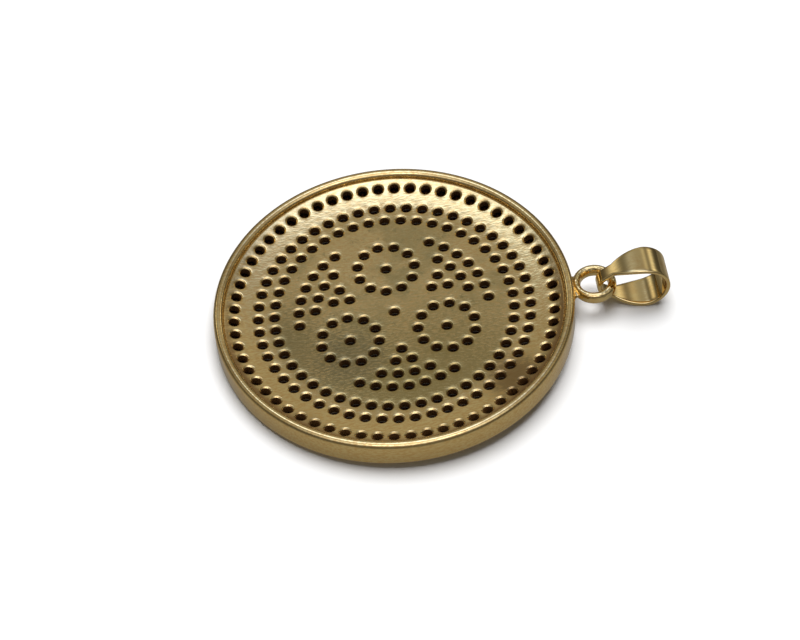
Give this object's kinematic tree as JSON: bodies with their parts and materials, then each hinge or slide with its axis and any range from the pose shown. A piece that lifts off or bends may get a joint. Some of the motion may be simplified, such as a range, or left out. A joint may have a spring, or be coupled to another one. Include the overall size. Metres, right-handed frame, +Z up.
{
  "type": "medallion pendant",
  "caption": "Round medallion pendant with a raised rim, a plate pierced in rings, rosettes and fans behind set stones, a soldered eye of oval wire and a folded strip bail that swings.",
  "frame": {"origin": "middle of the box round the pendant, on the table that it lies on", "axes": "+Z up, out of the medallion's back; +Y from the medallion towards the bail; +X to the right as seen from the back with the bail at the top"},
  "size_m": [0.0334, 0.0424, 0.005],
  "materials": {
    "gilt_metal": "polished",
    "gilt_bail": "polished",
    "clear_stone": "polished"
  },
  "bodies": {
    "pendant": {"medallion": "gilt_metal", "stones": "clear_stone"},
    "bail": {"bail": "gilt_bail"}
  },
  "joints": [
    {"name": "bail_swing", "type": "hinge", "parent": "pendant", "child": "bail", "pos_m": [0, 0.01595, 0.00238], "axis": [1, 0, 0], "range_deg": [-105, 105]}
  ]
}
